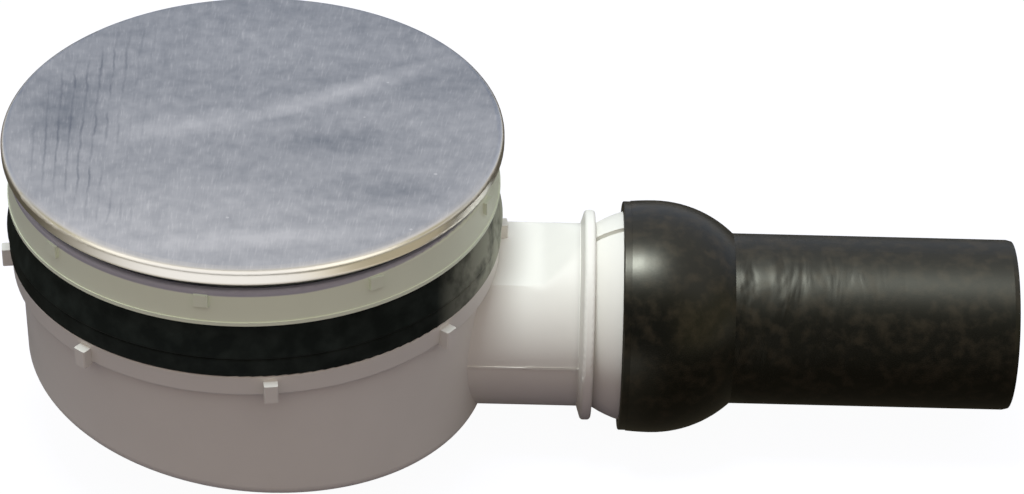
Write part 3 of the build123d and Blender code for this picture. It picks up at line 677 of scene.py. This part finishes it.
def studio_sky(stage):
    """World that is pale near the floor, cool behind, warm in front and bright overhead."""
    world = bpy.data.worlds.new("studio")
    world.use_nodes = True
    tree = world.node_tree
    tree.nodes.clear()
    way = add_node(tree, "ShaderNodeTexCoord")
    parts = add_node(tree, "ShaderNodeSeparateXYZ", {0: way.outputs["Generated"]})
    # Each edge of the sky is a fade along x, y or z of the direction
    edges = {
        "turn": ("Y", stage.sky_turn),
        "side": ("Y", stage.side_edge),
        "right": ("X", stage.right_edge),
        "rear": ("Y", stage.rear_edge),
        "horizon": ("Z", stage.horizon_edge),
        "top": ("Z", stage.top_edge),
        "front": ("Y", stage.front_edge),
    }
    fades = {
        name: add_node(tree, "ShaderNodeMapRange", {
            "Value": parts.outputs[axis], "From Min": edge[0], "From Max": edge[1]})
        for name, (axis, edge) in edges.items()
    }
    soft = add_node(tree, "ShaderNodeMix", {
        "Factor": fades["turn"], COLOUR_A: stage.sky_front[:], COLOUR_B: stage.sky_back[:]},
        data_type="RGBA")
    # What the camera and polished faces see of the low sky
    sideways = add_node(tree, "ShaderNodeMath", {
        0: fades["side"], 1: fades["right"]}, operation="MAXIMUM")
    mirror = add_node(tree, "ShaderNodeMix", {
        "Factor": sideways, COLOUR_A: stage.sky_mirror[:], COLOUR_B: stage.sky_side[:]},
        data_type="RGBA")
    shown = add_node(tree, "ShaderNodeMix", {
        "Factor": fades["rear"], COLOUR_A: mirror.outputs[MIXED], COLOUR_B: stage.sky_back[:]},
        data_type="RGBA")
    skyline = add_node(tree, "ShaderNodeMix", {
        "Factor": fades["horizon"], COLOUR_A: shown.outputs[MIXED], COLOUR_B: stage.horizon[:]},
        data_type="RGBA")
    path = add_node(tree, "ShaderNodeLightPath")
    direct = add_node(tree, "ShaderNodeMath", {
        0: path.outputs["Is Camera Ray"], 1: path.outputs["Is Glossy Ray"]}, operation="MAXIMUM")
    visible = add_node(tree, "ShaderNodeMath", {
        0: direct, 1: path.outputs["Is Transmission Ray"]}, operation="MAXIMUM")
    low_sky = add_node(tree, "ShaderNodeMix", {
        "Factor": visible, COLOUR_A: soft.outputs[MIXED], COLOUR_B: skyline.outputs[MIXED]},
        data_type="RGBA")
    all_round = add_node(tree, "ShaderNodeMix", {
        "Factor": fades["top"], COLOUR_A: low_sky.outputs[MIXED], COLOUR_B: stage.sky_top[:]},
        data_type="RGBA")
    # Polished faces show the room in front of the trap up to a good height
    room = add_node(tree, "ShaderNodeMath", {0: fades["front"], 1: visible}, operation="MULTIPLY")
    seen = add_node(tree, "ShaderNodeMix", {
        "Factor": room, COLOUR_A: all_round.outputs[MIXED], COLOUR_B: mirror.outputs[MIXED]},
        data_type="RGBA")
    backdrop = add_node(tree, "ShaderNodeBackground", {"Color": seen.outputs[MIXED]})
    add_node(tree, "ShaderNodeOutputWorld", {"Surface": backdrop})
    return world


def only_cover(name):
    """A collection that holds the cover alone, to say which lamps light it."""
    made = bpy.data.collections.new(name)
    made.objects.link(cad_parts["cover_plate"])
    return made


def facing(place, target):
    """The turn that points a lamp from a place at a target."""
    return (target - Vector(place)).to_track_quat("-Z", "Y").to_euler()


def area_lamp(scene, name, place, turn, receivers, **settings):
    """Adds a soft lamp, with the collection that says what it lights."""
    lamp = bpy.data.lights.new(name, "AREA")
    for key, value in settings.items():
        setattr(lamp, key, value)
    made = bpy.data.objects.new(name, lamp)
    made.location = place
    made.rotation_euler = turn
    made.light_linking.receiver_collection = receivers
    scene.collection.objects.link(made)
    return made


def studio_lamps(scene, stage):
    """Hangs the lamp overhead and sets two lamps that light only the cover."""
    low, high = CAD_BOX
    middle = (low + high) / 2
    # The overhead lamp's glare is kept off the steel cover
    glare_free = only_cover("no_lamp_glare")
    glare_free.collection_objects[0].light_linking.link_state = "EXCLUDE"
    area_lamp(scene, "overhead", stage.lamp_place, facing(stage.lamp_place, middle), glare_free,
              energy=stage.lamp_power, color=stage.lamp_colour[:3], shape="DISK",
              size=stage.lamp_size)
    # A wide soft box in front and a cream card on the floor show as pale bands in the cover's
    # rim, and light nothing else
    rim_only = only_cover("rim_glare")
    soft_box = area_lamp(scene, "soft_box", stage.box_place, facing(stage.box_place, middle), rim_only,
                         energy=stage.box_power, shape="RECTANGLE", size=stage.box_width,
                         size_y=stage.box_height)
    card_place = Vector((0, 0, low.z)) + Vector(stage.card_place)
    upwards = (radians(180), 0, 0)
    card = area_lamp(scene, "card", card_place, upwards, rim_only,
                     energy=stage.card_power, color=stage.card_colour[:3], size=stage.card_size)
    for lamp in (soft_box, card):
        lamp.visible_camera = False


def studio_camera(scene, stage):
    """Sets the camera, which looks back and down, with a slight roll."""
    lens = bpy.data.cameras.new("camera")
    lens.lens = stage.camera_lens
    camera = bpy.data.objects.new("camera", lens)
    tilt = Matrix.Rotation(radians(90) - stage.camera_elevation, 4, "X")
    roll = Matrix.Rotation(stage.camera_roll, 4, "Z")
    camera.matrix_world = Matrix.Translation(stage.camera_place) @ tilt @ roll
    scene.collection.objects.link(camera)
    scene.camera = camera


class SHOWERTRAP_OT_cover(bpy.types.Operator):
    """Finishes the steel cover"""

    bl_idname = "showertrap.cover"
    bl_label = "Cover"

    def execute(self, context):
        finish_nodes(brushed_steel(context.scene.trap_cover), ["cover_plate"])
        return {"FINISHED"}


class SHOWERTRAP_OT_mouldings(bpy.types.Operator):
    """Finishes the white mouldings"""

    bl_idname = "showertrap.mouldings"
    bl_label = "White mouldings"

    def execute(self, context):
        finish = context.scene.trap_mouldings
        finish_nodes(moulded_polypropylene("polypropylene_moulded_ivory", finish.flange, finish),
                     ["flange_ring", "cover_carrier"])
        finish_nodes(moulded_polypropylene("polypropylene_moulded_white", finish.body, finish),
                     ["trap_body", "dip_tube", "siphon_cup"])
        return {"FINISHED"}


class SHOWERTRAP_OT_seals(bpy.types.Operator):
    """Finishes the rubber seals and rings"""

    bl_idname = "showertrap.seals"
    bl_label = "Seals"

    def execute(self, context):
        finish_nodes(moulded_rubber(context.scene.trap_rubber),
                     ["upper_seal", "lower_seal", "insert_o_ring", "ball_seal"])
        return {"FINISHED"}


class SHOWERTRAP_OT_outlet(bpy.types.Operator):
    """Finishes the black outlet"""

    bl_idname = "showertrap.outlet"
    bl_label = "Outlet"

    def execute(self, context):
        finish_nodes(moulded_polyethylene(context.scene.trap_outlet), ["outlet_socket"])
        return {"FINISHED"}


class SHOWERTRAP_OT_stage(bpy.types.Operator):
    """Lays the floor and sets the light and the camera"""

    bl_idname = "showertrap.stage"
    bl_label = "Set stage"

    def execute(self, context):
        scene = context.scene
        stage = scene.trap_stage
        scene.view_settings.view_transform = "Standard"
        floor_height = CAD_BOX[0].z - stage.floor_gap
        bpy.ops.mesh.primitive_plane_add(size=stage.floor_size, location=(0, 0, floor_height))
        floor = context.object
        floor.name = "floor"
        floor.data.materials.append(pale_floor(stage))
        scene.world = studio_sky(stage)
        studio_lamps(scene, stage)
        studio_camera(scene, stage)
        return {"FINISHED"}


class SHOWERTRAP_PT_panel(bpy.types.Panel):
    """Sidebar panel with the trap's steps"""

    bl_idname = "SHOWERTRAP_PT_panel"
    bl_label = "Shower trap"
    bl_space_type = "VIEW_3D"
    bl_region_type = "UI"
    bl_category = "Shower trap"

    def draw(self, context):
        for step in STEPS:
            self.layout.operator(step.bl_idname)


GROUPS = {
    "trap_cover": CoverFinish,
    "trap_mouldings": MouldingFinish,
    "trap_rubber": RubberFinish,
    "trap_outlet": OutletFinish,
    "trap_stage": TrapStage,
}
STEPS = (
    SHOWERTRAP_OT_cover,
    SHOWERTRAP_OT_mouldings,
    SHOWERTRAP_OT_seals,
    SHOWERTRAP_OT_outlet,
    SHOWERTRAP_OT_stage,
)
CLASSES = (*GROUPS.values(), *STEPS, SHOWERTRAP_PT_panel)


def register():
    for cls in CLASSES:
        bpy.utils.register_class(cls)
    for name, group in GROUPS.items():
        setattr(bpy.types.Scene, name, bpy.props.PointerProperty(type=group))


def unregister():
    for name in GROUPS:
        delattr(bpy.types.Scene, name)
    for cls in reversed(CLASSES):
        bpy.utils.unregister_class(cls)


def main():
    register()
    bpy.ops.showertrap.cover()
    bpy.ops.showertrap.mouldings()
    bpy.ops.showertrap.seals()
    bpy.ops.showertrap.outlet()
    bpy.ops.showertrap.stage()


if __name__ == "__main__":
    main()
